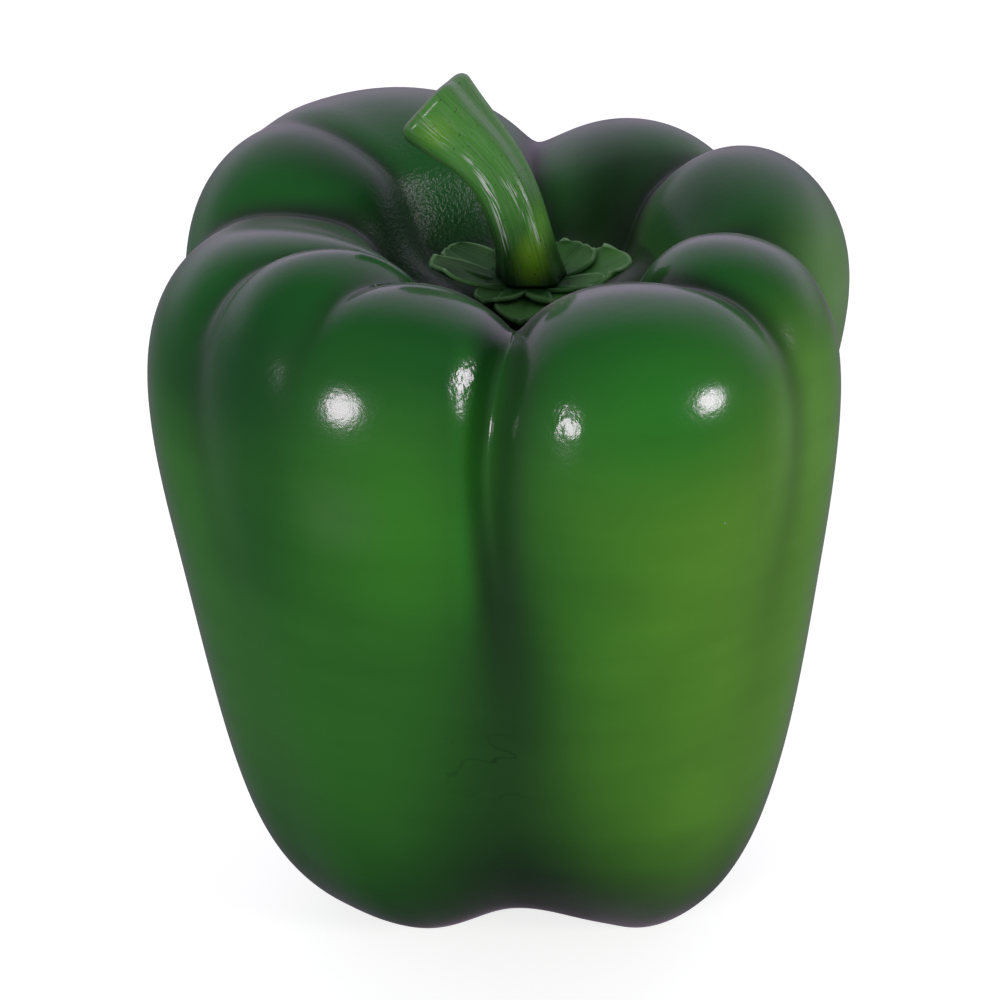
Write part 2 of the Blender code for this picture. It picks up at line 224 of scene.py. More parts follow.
# Round softboxes that face the pepper.
Softbox = namedtuple("Softbox", "azimuth elevation distance width height brightness")
SOFTBOXES = {
    "left softbox": Softbox(-128, 8, 1.0, 0.34, 0.28, 30.0),
    "right softbox": Softbox(-28, 13, 1.0, 0.24, 0.22, 34.0),
}
SOFTBOX_COLOUR = (1.0, 0.86, 1.0)
STUDIO_COLOUR = (0.87, 0.68, 1.0, 1.0)
BACK_BRIGHTNESS = 1.3
FRONT_BRIGHTNESS = 0.25
# The studio grows brighter between these values of a direction's Y, and of its Z above and below level.
BEHIND = (-0.1, 0.7)
ABOVE = (-0.15, 0.35)
LEVEL = (-1.3, 0.1)
FLOOR_RADIUS = 4.0
FLOOR_DROP = 0.0001
FLOOR_SIDES = 96
FLOOR_COLOUR = (0.50, 0.60, 0.48, 1.0)
FLOOR_GLOW = 0.75
WHITE = (1.0, 1.0, 1.0, 1.0)

# Skin colours: down the fruit, on its right side, and the grooves' painted shade, partly their own darker
# green.
SHOULDER_GREEN = (0.006, 0.095, 0.010, 1.0)
MIDDLE_GREEN = (0.025, 0.150, 0.016, 1.0)
FOOT_GREEN = (0.006, 0.072, 0.008, 1.0)
YELLOW_GREEN = (0.115, 0.375, 0.026, 1.0)
GROOVE_SHADE_GREEN = (0.010, 0.036, 0.010, 1.0)
SPECK_COLOUR = (0.45, 0.55, 0.45, 1.0)
HAIRLINE_COLOUR = (0.004, 0.015, 0.004, 1.0)
# Between which heights, and which x to the right, one green passes into the next.
SHOULDER_HEIGHTS = (0.070, 0.092)
YELLOW_TOP_HEIGHTS = (0.068, 0.096)
FOOT_GREEN_HEIGHTS = (0.004, 0.032)
YELLOW_SIDE = (-0.004, 0.036)
FOOT_GREEN_STRENGTH = 0.85
# A noise's scales are its cells to a metre, or to the whole of u and v, along each axis. Its height
# counts only where a bump raises it.
Noise = namedtuple("Noise", "scales detail roughness height", defaults=(2.0, 0.5, 1.0))
# Soft clouds shift the greens' borders up and sideways by this much. Clouds and bands also vary the tone.
CLOUDS = Noise((45.0, 45.0, 45.0))
CLOUD_LIFT = 0.014
CLOUD_DRIFT = 0.012
BANDS = Noise((55.0, 55.0, 260.0), 4.0)
TONE = 0.80
TONE_BANDS = 0.22
TONE_CLOUDS = 0.18

# Soft patches of another colour, each round a place on the skin. Some are painted sheen, light and shade.
Patch = namedtuple("Patch", "centre radii colour strength")
PATCHES = {
    "bright belly": Patch((-0.012, -0.038, 0.068), (0.014, 0.012, 0.021),
                          (0.034, 0.215, 0.016, 1.0), 0.9),
    # A painted sheen: a greyish halo beside the front lobe's highlight.
    "dull belly sheen": Patch((-0.019, -0.036, 0.069), (0.008, 0.010, 0.008),
                        (0.060, 0.190, 0.045, 1.0), 0.5),
    "dark shoulder": Patch((-0.030, -0.029, 0.083), (0.013, 0.015, 0.020),
                           (0.004, 0.050, 0.009, 1.0), 0.8),
    # Painted light on the front groove's left wall, which the lamps leave darker.
    "lit groove flank": Patch((-0.0043, -0.0345, 0.071), (0.003, 0.006, 0.024),
                          (0.035, 0.300, 0.024, 1.0), 0.9),
    "left shoulder": Patch((-0.037, -0.019, 0.080), (0.012, 0.014, 0.014),
                           (0.003, 0.045, 0.008, 1.0), 0.7),
    "dark flank": Patch((-0.029, -0.028, 0.064), (0.010, 0.014, 0.020),
                        (0.009, 0.085, 0.010, 1.0), 0.8),
    "right rim": Patch((0.041, -0.002, 0.080), (0.014, 0.018, 0.020),
                       (0.120, 0.320, 0.070, 1.0), 1.0),
    "right slope": Patch((0.023, 0.003, 0.091), (0.014, 0.012, 0.010),
                         (0.004, 0.040, 0.008, 1.0), 0.8),
    "upper right": Patch((0.020, -0.040, 0.084), (0.020, 0.020, 0.015),
                         (0.012, 0.200, 0.012, 1.0), 0.75),
    # Partly painted sheen on the right lobe, partly its own paler green.
    "right strip sheen": Patch((0.036, -0.028, 0.077), (0.009, 0.014, 0.018),
                         (0.170, 0.480, 0.080, 1.0), 0.45),
    # Partly painted shade in the pit, partly the skin's own dark green there.
    "pit": Patch((0.0035, 0.0, 0.084), (0.024, 0.024, 0.015),
                 (0.004, 0.030, 0.006, 1.0), 0.9),
}
# Where fine dark lines cross the skin: noise near its middle value draws them.
HAIRLINE_CENTRE = (-0.0005, -0.0345, 0.0350)
HAIRLINE_RADII = (0.0110, 0.0100, 0.0080)
HAIRLINES = Noise((45.0, 45.0, 130.0), 3.0)
HAIRLINE_WIDTHS = (0.002, 0.008)
HAIRLINE_STRENGTH = 0.4
# Tiny pale specks, one to a cell.
SPECK_CELLS = 60.0
SPECK_WIDTHS = (0.005, 0.011)
SPECK_STRENGTH = 0.8

# The skin's relief, in layers of noise whose heights are in units of RELIEF_UNIT metres.
RELIEF_UNIT = 0.00002
PEEL = Noise((1500.0, 1500.0, 1500.0), 2.0, 0.6, 1.0)
COARSE_PEEL = Noise((2000.0, 2000.0, 2000.0), 2.0, 0.6, 11.0)
WAVES = Noise((260.0, 260.0, 260.0), 1.0, 0.5, 2.0)
BRUSH_MARKS = Noise((60.0, 60.0, 1400.0), 2.0, 0.5, 0.3)
DIMPLES = Noise((380.0, 380.0, 200.0), 1.0, 0.5, 9.0)
SCRATCHES = Noise((1300.0, 1300.0, 700.0), 2.0, 0.5, 4.0)
# Where the coarse peel is.
GRAIN_CENTRE = (-0.008, 0.013, 0.0865)
GRAIN_RADII = (0.018, 0.018, 0.015)
# Dimpled and scratched places, where the skin mirrors the lights in pieces.
DENTS = ((-0.0045, -0.0345, 0.0860), (0.0060, -0.0420, 0.0840))
DENT_RADII = (0.0050, 0.0060, 0.0055)
# Places where the skin is flatter than the grid makes it, so that it mirrors a light more widely. Their
# depths are in units of RELIEF_UNIT too.
Flat = namedtuple("Flat", "centre radii depth")
FLATS = (
    Flat((-0.0030, -0.0342, 0.0850), (0.0055, 0.0080, 0.0065), 28.0),
    Flat((0.0049, -0.0420, 0.0832), (0.0060, 0.0060, 0.0110), 13.0),
    Flat((-0.0098, 0.0122, 0.0870), (0.0090, 0.0090, 0.0070), 42.0),
)
# The skin's roughness in front, how much more it is behind, and between which y it grows.
SKIN_ROUGHNESS = 0.16
SKIN_ROUGHNESS_MORE = 0.20
ROUGHER_FROM_Y = (-0.022, 0.006)
SKIN_GLOSS = {
    "IOR": 1.38,
    "Sheen_Weight": 0.15,
    "Sheen_Roughness": 0.35,
    "Sheen_Tint": (1.0, 0.85, 1.0, 1.0),
}

# Calyx colours, and where on a sepal they are: along it and across it, where 1 is its tip or its side.
SEPAL_ROOT_GREEN = (0.012, 0.070, 0.012, 1.0)
SEPAL_GREEN = (0.075, 0.280, 0.052, 1.0)
SEPAL_VEIN = (0.100, 0.200, 0.080, 1.0)
SEPAL_RIM = (0.240, 0.520, 0.200, 1.0)
SEPAL_FRONT = (0.045, 0.150, 0.030, 1.0)
SEPAL_LEFT = (0.040, 0.100, 0.034, 1.0)
ROOT_GREEN_END = 0.7
VEINS = Noise((26.0, 1.6, 1.0))
VEIN_VALUES = (0.50, 0.68)
VEIN_STRENGTH = 0.35
RIM_ACROSS = (0.90, 0.99)
RIM_ALONG = (0.955, 0.99)
RIM_STRENGTH = 0.6
FRONT_SEPAL_Y = (-0.010, -0.002)
FRONT_SEPAL_STRENGTH = 0.6
LEFT_SEPAL_X = (-0.005, 0.004)
LEFT_SEPAL_STRENGTH = 0.5
# Painted shade in the hollow of the left sepals, under the leaning stem beside its foot.
SEPAL_CUP_SHADE = Patch((-0.0045, -0.0015, 0.0862), (0.0048, 0.0026, 0.0020), (0.006, 0.030, 0.006, 1.0), 1.0)
# The sepals' veins and mottle are raised in units of SEPAL_RELIEF metres.
MOTTLE = Noise((900.0, 900.0, 900.0), 3.0, 0.5, 0.3)
SEPAL_RELIEF = 0.0001
SEPAL_GLOSS = {"Roughness": 0.42, "IOR": 1.4, "Specular_IOR_Level": 0.05}

# Bundles of painted glints on the stem, pale streaks that stand for the softboxes' highlights: u at the
# foot, how much u grows with v, half width, from and to v. Each bundle fades in and out over STREAK_FADE of
# v, and a few faint pale fibre streaks run all round.
Streaks = namedtuple("Streaks", "u lean width low high strength")
STREAKS = (
    Streaks(0.626, 0.143, 0.030, 0.15, 0.70, 0.9),
    Streaks(0.887, -0.204, 0.030, 0.12, 0.52, 0.7),
    Streaks(0.640, 0.100, 0.030, 0.72, 0.92, 0.6),
)
STREAK_FADE = 0.1
FAINT_STREAKS = 0.05
STREAK_FIBRES = Noise((150.0, 7.0, 1.0))
STREAK_VALUES = (0.48, 0.58)

# Stem colours and patches.
STEM_LOW_GREEN = (0.030, 0.130, 0.018, 1.0)
STEM_HIGH_GREEN = (0.065, 0.240, 0.040, 1.0)
# Painted shade on the stem's under side; the same green also colours the dark fibres.
STEM_SHADE_AND_FIBRE_GREEN = (0.014, 0.085, 0.012, 1.0)
# Pale colour for the painted glints and for the faint fibre streaks.
STEM_GLINT_AND_STREAK = (0.500, 0.600, 0.500, 1.0)
STEM_SPECK = (0.020, 0.040, 0.008, 1.0)
# The dark foot: partly the stem's own dark collar, partly painted shade where it meets the calyx.
STEM_DARK_COLLAR_AND_SHADE = (0.007, 0.032, 0.007, 1.0)
STEM_CUT = (0.170, 0.210, 0.140, 1.0)
STEM_PATCHES = {
    "bright side": Patch((0.0050, -0.0025, 0.0915), (0.0030, 0.0040, 0.0060),
                         (0.100, 0.330, 0.030, 1.0), 1.0),
    "yellow foot": Patch((0.0035, -0.0038, 0.0870), (0.0032, 0.0040, 0.0055),
                         (0.200, 0.500, 0.020, 1.0), 1.0),
    "yellow top": Patch((-0.0080, -0.0030, 0.1035), (0.0035, 0.0040, 0.0030),
                        (0.120, 0.330, 0.012, 1.0), 0.6),
}
# Where one stem colour passes into the next: by height, and on the under side, darker with painted shade,
# by x and height. Noise moves the dark foot's border by COLLAR_WAVE, and the yellow foot keeps a share of
# its colour there. The dark foot is partly the stem's own dark collar and partly painted shade where it
# meets the calyx.
STEM_HIGH_HEIGHTS = (0.088, 0.103)
UNDER_X_SHARE = 1.2
UNDER_HEIGHT_SHARE = 0.9
UNDER_VALUES = (0.0755, 0.0840)
COLLAR_HEIGHTS = (0.0848, 0.0866)
COLLAR_WAVE = 0.002
COLLAR_LEFT_YELLOW = 0.8
FIBRES = Noise((70.0, 2.5, 1.0), 3.0, 0.65)
FIBRE_VALUES = (0.54, 0.72)
FIBRE_STRENGTH = 0.55
STEM_SPECKS = Noise((2600.0, 2600.0, 2600.0), 1.0)
STEM_SPECK_VALUES = (0.66, 0.74)
STEM_SPECK_STRENGTH = 0.7
# The fibres and clouds are raised in units of STEM_RELIEF metres.
STEM_CLOUDS = Noise((220.0, 220.0, 220.0))
STEM_CLOUD_HEIGHT = 0.5
STEM_RELIEF = 0.00006
STEM_ROUGHNESS = 0.2
CUT_ROUGHNESS_MORE = 0.4
STEM_GLOSS = {"IOR": 1.5, "Specular_IOR_Level": 0.2}


def ease(value, low, high):
    """0 below low and 1 above high, smooth between them."""
    share = np.clip((value - low) / (high - low), 0.0, 1.0)
    return share * share * (3.0 - 2.0 * share)


def spline(knots, values, places):
    """Natural cubic spline through values (one row a knot), read at an array of places."""
    knots = np.asarray(knots, float)
    values = np.asarray(values, float).reshape(len(knots), -1)
    gaps = np.diff(knots)
    slopes = np.diff(values, axis=0) / gaps[:, None]
    system = np.eye(len(knots))
    bends = np.zeros_like(values)
    for i in range(1, len(knots) - 1):
        system[i, i - 1:i + 2] = gaps[i - 1], 2.0 * (gaps[i - 1] + gaps[i]), gaps[i]
        bends[i] = 6.0 * (slopes[i] - slopes[i - 1])
    bends = np.linalg.solve(system, bends)
    k = np.clip(np.searchsorted(knots, places, side="right") - 1, 0, len(gaps) - 1)
    gap = gaps[k][:, None]
    after = (places - knots[k])[:, None] / gap
    before = 1.0 - after
    curve = before * values[k] + after * values[k + 1]
    curve += ((before ** 3 - before) * bends[k] + (after ** 3 - after) * bends[k + 1]) * gap ** 2 / 6.0
    return curve


def outline_places():
    """Each named point's place along the outline, from 0 at the pit to 1 at the navel."""
    points = np.array(list(OUTLINE.values()))
    along = np.concatenate([[0.0], np.cumsum(np.linalg.norm(np.diff(points, axis=0), axis=1))])
    return dict(zip(OUTLINE, along / along[-1]))


def at_stations(values, places, ends):
    """A groove's value, given at the stations and at the outline's two ends, read at the places."""
    known = outline_places()
    knots = [0.0] + [known[station] for station in STATIONS] + [1.0]
    padded = list(values) + [0.0] * (len(STATIONS) - len(values))
    return spline(knots, [ends[0]] + padded + [ends[1]], places)[:, 0]


def groove_azimuth(groove, places):
    first = groove.turns[0]
    last = groove.turns[-1] if len(groove.turns) == len(STATIONS) else 0.0
    return np.radians(groove.azimuth + at_stations(groove.turns, places, (first, last)))


def valley(aside, softness):
    """A groove's profile: 1 in its middle, with a round or sharp bottom, and less to its sides."""
    return np.exp(softness - np.sqrt(aside ** 2 + softness ** 2))


def groove_cut(groove, azimuths, places):
    """How deep the groove cuts into the skin at these azimuths and places."""
    depth = np.maximum(at_stations(groove.depths, places, (0.0, 0.0)), 0.0)
    softness = at_stations(groove.softness, places, (groove.softness[0], groove.softness[-1]))
    softness = np.maximum(softness, SHARPEST)
    cleft = np.maximum(at_stations(groove.cleft, places, (0.0, 0.0)), 0.0)
    turn = np.degrees(np.angle(np.exp(1j * (azimuths - groove_azimuth(groove, places)))))
    return (depth * valley(turn / groove.half_width, softness)
            + cleft * valley(turn / CLEFT_HALF_WIDTH, CLEFT_SOFTNESS))


def total_cut(azimuths, places):
    return sum(groove_cut(groove, azimuths, places) for groove in GROOVES.values())


def groove_shade(azimuths, places):
    """How much painted shade, partly the skin's own darker green, the grooves put in its colour: 0 on the
    lobes, 1 in a deep groove's middle.
    """
    known = outline_places()
    radius = spline(list(known.values()), list(OUTLINE.values()), places)[:, 0]
    shade = np.zeros_like(places)
    for name, groove in GROOVES.items():
        widths, sides, strengths = FRONT_SHADE if name == "front" else SHADE
        width = np.maximum(at_stations(widths, places, (widths[0], widths[-1])), SHADE_NARROWEST)
        deep = np.clip(at_stations(groove.depths, places, (0.0, 0.0)) / SHADE_DEPTH, 0.0, 1.0)
        deep *= np.clip(at_stations(strengths, places, (1.0, 1.0)), 0.0, 1.0)
        turn = np.angle(np.exp(1j * (azimuths - groove_azimuth(groove, places))))
        aside = turn * radius - at_stations(sides, places, (0.0, 0.0))
        shade = np.maximum(shade, deep * np.exp(-(aside / width) ** 2))
    return shade


def lobe_shape(azimuths):
    """Reach, lift and foot at these azimuths, blended from the lobes around them."""
    lobes = np.array(LOBES)
    weights = np.exp(LOBE_FOCUS * (np.cos(azimuths[:, None] - np.radians(lobes[:, 0])) - 1.0))
    weights /= weights.sum(axis=1, keepdims=True)
    return (weights @ lobes[:, 1:]).T


def fruit_points(azimuths, places):
    """Points of the fruit's skin at azimuths (radians) and places along the outline."""
    known = outline_places()
    radius, height = spline(list(known.values()), list(OUTLINE.values()), places).T
    core = CORE_MIDDLE + CORE_HALF * np.tanh((height - CORE_MIDDLE) / CORE_HALF)
    out = radius - CORE_RADIUS
    up = height - core
    length = np.hypot(out, up)
    cut = total_cut(azimuths, places)
    reach, lift, foot = lobe_shape(azimuths)
    lift = lift * ease(height, *LIFT_HEIGHTS) + foot * (1.0 - ease(height, *FOOT_HEIGHTS))
    lift *= ease(radius, *LIFT_RADII)
    radius = np.maximum((radius - cut * out / length) * reach, 0.0)
    height = height - cut * up / length + lift
    shift = PIT_SHIFT * (1.0 - ease(radius, *PIT_SHIFT_RADII)) * (places < known["widest"])
    x = AXIS_X + radius * np.cos(azimuths) + shift
    y = AXIS_Y + radius * np.sin(azimuths)
    return np.column_stack([x, y, height])


def lobe_azimuths(turn, places):
    """Azimuths for turn 0 to 1 round the fruit, with every lobe getting the same share of it."""
    sides = np.array([groove_azimuth(groove, places) for groove in GROOVES.values()])
    sides = np.vstack([sides, sides[0] + 2.0 * np.pi])
    lobe = np.clip(turn * len(GROOVES), 0.0, len(GROOVES) - SEAM_NUDGE)
    k = np.floor(lobe + COLUMN_NUDGE).astype(int).clip(0, len(GROOVES) - 1)
    across = lobe - k
    across = across - GROOVE_CROWDING * np.sin(2.0 * np.pi * across) / (2.0 * np.pi)
    row = np.arange(len(places))
    return sides[k, row] * (1.0 - across) + sides[k + 1, row] * across


def sheet_mesh(columns, rows, place, marks=None):
    """A grid whose points place(u, v) moves, u across and v up from 0 to 1, welded where it meets.

    It keeps u and v as its UV map. marks(u, v) gives more values a point, by name.
    """
    mesh = bmesh.new()
    mesh.loops.layers.uv.new("UVMap")
    bmesh.ops.create_grid(mesh, x_segments=columns, y_segments=rows, size=0.5, calc_uvs=True)
    u, v = np.array([vertex.co[:2] for vertex in mesh.verts]).T + 0.5
    for name, values in (marks(u, v) if marks else {}).items():
        layer = mesh.verts.layers.float.new(name)
        for vertex, value in zip(mesh.verts, values):
            vertex[layer] = value
    for vertex, point in zip(mesh.verts, place(u, v)):
        vertex.co = point
    bmesh.ops.remove_doubles(mesh, verts=mesh.verts, dist=WELD_DISTANCE)
    return mesh


def finish_piece(name, mesh, material, node):
    """Makes the mesh a piece that stands for a CAD node and rides on the root body."""
    data = bpy.data.meshes.new(name)
    mesh.to_mesh(data)
    mesh.free()
    data.shade_smooth()
    data.materials.append(material)
    piece = bpy.data.objects.new(name, data)
    bpy.context.scene.collection.objects.link(piece)
    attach(piece, "root")
    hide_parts(node)
    return piece


class Wire:
    """A node's output. Python's operators on numbers add Math nodes to its tree."""

    def __init__(self, nodes, socket):
        self.nodes = nodes
        self.socket = socket

    def math(self, operation, first, second):
        return self.nodes.add("ShaderNodeMath", {"operation": operation}, {0: first, 1: second})

    def __add__(self, other):
        return self.math("ADD", self, other)

    def __radd__(self, other):
        return self.math("ADD", other, self)

    def __sub__(self, other):
        return self.math("SUBTRACT", self, other)

    def __rsub__(self, other):
        return self.math("SUBTRACT", other, self)

    def __mul__(self, other):
        return self.math("MULTIPLY", self, other)

    def __rmul__(self, other):
        return self.math("MULTIPLY", other, self)

    def __abs__(self):
        return self.nodes.add("ShaderNodeMath", {"operation": "ABSOLUTE"}, {0: self})


class Nodes:
    """A node tree, and what its nodes are made with."""

    def __init__(self, tree):
        self.tree = tree

    def add(self, kind, settings, sockets, output=0):
        """Adds a node, sets it up, then gives its sockets values or wires. Returns one output."""
        node = self.tree.nodes.new(kind)
        for name, value in settings.items():
            setattr(node, name, value)
        for key, value in sockets.items():
            self.feed(node.inputs[key], value)
        return Wire(self, node.outputs[output])

    def feed(self, socket, value):
        if isinstance(value, Wire):
            self.tree.links.new(value.socket, socket)
        else:
            socket.default_value = value

    def split(self, vector):
        node = self.add("ShaderNodeSeparateXYZ", {}, {0: vector}).socket.node
        return [Wire(self, output) for output in node.outputs]

    def scaled(self, vector, factors):
        return self.add("ShaderNodeVectorMath", {"operation": "MULTIPLY"}, {0: vector, 1: factors})

    def noise(self, vector, noise):
        """Noise from 0 to 1, about 0.5."""
        sockets = {"Vector": self.scaled(vector, noise.scales), "Scale": 1.0, "Detail": noise.detail,
                   "Roughness": noise.roughness}
        return self.add("ShaderNodeTexNoise", {}, sockets, "Fac")

    def rise(self, value, low, high):
        """0 below low and 1 above high, smooth between them."""
        settings = {"interpolation_type": "SMOOTHSTEP"}
        return self.add("ShaderNodeMapRange", settings, {0: value, 1: low, 2: high, 3: 0.0, 4: 1.0})

    def spot(self, vector, centre, radii):
        """1 at the centre of a soft round spot and 0 outside its radii."""
        away = self.add("ShaderNodeVectorMath", {"operation": "SUBTRACT"}, {0: vector, 1: centre})
        away = self.scaled(away, tuple(1.0 / radius for radius in radii))
        length = self.add("ShaderNodeVectorMath", {"operation": "LENGTH"}, {0: away}, "Value")
        return 1.0 - self.rise(length, 0.0, 1.0)

    def mix(self, first, second, share):
        settings = {"data_type": "RGBA"}
        return self.add("ShaderNodeMix", settings, {0: share, 6: first, 7: second}, 2)

    def patched(self, colour, vector, patch):
        """The colour with the patch's own colour mixed in round its centre."""
        return self.mix(colour, patch.colour, self.spot(vector, patch.centre, patch.radii) * patch.strength)

    def relief(self, vector, noise):
        """Noise as high as it says, for a bump to raise."""
        return self.noise(vector, noise) * noise.height

    def bump(self, height, distance):
        sockets = {"Strength": 1.0, "Distance": distance, "Height": height}
        return self.add("ShaderNodeBump", {}, sockets)


class Finish(Nodes):
    """A material with one Principled shader, and what its pattern is read from."""

    def __init__(self, name):
        self.material = bpy.data.materials.new(name)
        self.material.use_nodes = True
        super().__init__(self.material.node_tree)
        self.shader = self.tree.nodes["Principled BSDF"]

    def set(self, **values):
        for name, value in values.items():
            self.feed(self.shader.inputs[name.replace("_", " ")], value)

    def place(self):
        return self.add("ShaderNodeTexCoord", {}, {}, "Object")

    def mark(self, name):
        return self.add("ShaderNodeAttribute", {"attribute_name": name}, {}, "Fac")

    def uv(self):
        return self.add("ShaderNodeUVMap", {"uv_map": "UVMap"}, {})


def hairlines(finish, place):
    """1 in the middle of the fine dark lines and 0 beside them."""
    lines = 1.0 - finish.rise(abs(finish.noise(place, HAIRLINES) - 0.5), *HAIRLINE_WIDTHS)
    return finish.spot(place, HAIRLINE_CENTRE, HAIRLINE_RADII) * lines


def specks(finish, place):
    """1 in the middle of the pale specks and 0 beside them."""
    sockets = {"Vector": place, "Scale": SPECK_CELLS}
    away = finish.add("ShaderNodeTexVoronoi", {}, sockets, "Distance")
    return 1.0 - finish.rise(away, *SPECK_WIDTHS)


def skin_colour(finish, place):
    """Greens down and across the fruit, with soft patches, some of them painted sheen, light and shade, the
    grooves' painted shade, hairlines and specks.
    """
    x, _, z = finish.split(place)
    cloud = finish.noise(place, CLOUDS)
    height = z + (cloud - 0.5) * CLOUD_LIFT
    colour = finish.mix(MIDDLE_GREEN, SHOULDER_GREEN, finish.rise(height, *SHOULDER_HEIGHTS))
    right = finish.rise(x + (cloud - 0.5) * CLOUD_DRIFT, *YELLOW_SIDE)
    yellow = right * (1.0 - finish.rise(height, *YELLOW_TOP_HEIGHTS))
    colour = finish.mix(colour, YELLOW_GREEN, yellow)
    for patch in PATCHES.values():
        colour = finish.patched(colour, place, patch)
    foot = (1.0 - finish.rise(height, *FOOT_GREEN_HEIGHTS)) * FOOT_GREEN_STRENGTH
    colour = finish.mix(colour, FOOT_GREEN, foot)
    # Painted shade in the grooves, partly the skin's own darker green there.
    colour = finish.mix(colour, GROOVE_SHADE_GREEN, finish.mark("shade"))
    tone = TONE + finish.noise(place, BANDS) * TONE_BANDS + cloud * TONE_CLOUDS
    colour = finish.scaled(colour, tone)
    colour = finish.mix(colour, HAIRLINE_COLOUR, hairlines(finish, place) * HAIRLINE_STRENGTH)
    return finish.mix(colour, SPECK_COLOUR, specks(finish, place) * SPECK_STRENGTH)


def skin_bump(finish, place):
    """Orange peel, coarse in the pit, with dented and flatter places and faint brush marks."""
    grain = finish.spot(place, GRAIN_CENTRE, GRAIN_RADII)
    height = finish.relief(place, PEEL) + finish.relief(place, COARSE_PEEL) * grain
    height = height + finish.relief(place, WAVES) + finish.relief(place, BRUSH_MARKS)
    dents = sum((finish.spot(place, centre, DENT_RADII) for centre in DENTS), 0.0)
    height = height + (finish.relief(place, DIMPLES) + finish.relief(place, SCRATCHES)) * dents
    flat = sum((finish.spot(place, spot.centre, spot.radii) * spot.depth for spot in FLATS), 0.0)
    return finish.bump(height - flat, RELIEF_UNIT)


def skin_material():
    finish = Finish("glossy pepper skin")
    place = finish.place()
    _, y, _ = finish.split(place)
    rough = finish.rise(y, *ROUGHER_FROM_Y) * SKIN_ROUGHNESS_MORE + SKIN_ROUGHNESS
    finish.set(Base_Color=skin_colour(finish, place), Normal=skin_bump(finish, place), Roughness=rough,
               **SKIN_GLOSS)
    return finish.material


def build_skin():
    def place(u, v):
        places = 1.0 - v
        return fruit_points(lobe_azimuths(u, places), places)

    def marks(u, v):
        places = 1.0 - v
        return {"shade": groove_shade(lobe_azimuths(u, places), places)}

    mesh = sheet_mesh(LOBE_COLUMNS * len(GROOVES), FRUIT_ROWS, place, marks)
    everything = mesh.verts[:] + mesh.edges[:] + mesh.faces[:]
    bmesh.ops.bisect_plane(mesh, geom=everything, plane_co=(0, 0, 0), plane_no=(0, 0, 1),
                           dist=CUT_DISTANCE, clear_inner=True)
    bmesh.ops.holes_fill(mesh, edges=[edge for edge in mesh.edges if edge.is_boundary])
    bmesh.ops.recalc_face_normals(mesh, faces=mesh.faces)
    return finish_piece("pepper_skin", mesh, skin_material(), "fruit")


def sepal_points(sepal, across, along):
    """Points of a sepal's upper face: across from -1 to 1, along from 0 at its root to 1 at its tip."""
    swell = SEPAL_ROOT_SHARE + (1.0 - SEPAL_ROOT_SHARE) * np.sin(0.5 * np.pi * along / SEPAL_WIDEST)
    past = np.clip((along - SEPAL_WIDEST) / (1.0 - SEPAL_WIDEST), 0.0, 1.0)
    close = 1.0 - (1.0 - sepal.bluntness) * past ** 2
    half = 0.5 * sepal.width * np.where(along < SEPAL_WIDEST, swell, close)
    rounding = SEPAL_ROUNDING * sepal.bluntness ** 2 * 0.5 * sepal.width
    forward = SEPAL_ROOT_RADIUS + (sepal.length - SEPAL_ROOT_RADIUS) * along
    forward -= rounding * across ** 2 * along ** 3
    rise = (sepal.tip_height - DISC_TOP) * along ** 2
    height = DISC_TOP - SEPAL_SINK + rise + SEPAL_HOLLOW * across ** 2 * np.sin(np.pi * along)
    height -= SEPAL_FOLD * np.exp(-(across / SEPAL_FOLD_WIDTH) ** 2) * along
    height += SEPAL_RIPPLE * across ** 2 * along * np.sin(SEPAL_RIPPLE_TURNS * along + sepal.azimuth)
    angle = np.radians(sepal.azimuth)
    x = AXIS_X + PIT_SHIFT + forward * np.cos(angle) + half * across * np.sin(angle)
    y = AXIS_Y + forward * np.sin(angle) - half * across * np.cos(angle)
    return np.column_stack([x, y, height])


def sepal_mesh(sepal):
    def place(u, v):
        return sepal_points(sepal, 2.0 * u - 1.0, v)

    mesh = sheet_mesh(SEPAL_COLUMNS, SEPAL_ROWS, place)
    bmesh.ops.solidify(mesh, geom=mesh.faces, thickness=SEPAL_THICKNESS)
    return mesh


def add_disc(mesh):
    """Spins the disc's profile about the pit's middle."""
    middle = Vector((AXIS_X + PIT_SHIFT, AXIS_Y, 0.0))
    points = [mesh.verts.new(middle + Vector((radius, 0.0, height))) for radius, height in DISC_PROFILE]
    line = [mesh.edges.new(pair) for pair in zip(points, points[1:])]
    bmesh.ops.spin(mesh, geom=points + line, cent=middle, axis=(0, 0, 1), angle=2.0 * math.pi,
                   steps=DISC_STEPS, use_merge=True)
    bmesh.ops.holes_fill(mesh, edges=[edge for edge in mesh.edges if edge.is_boundary])


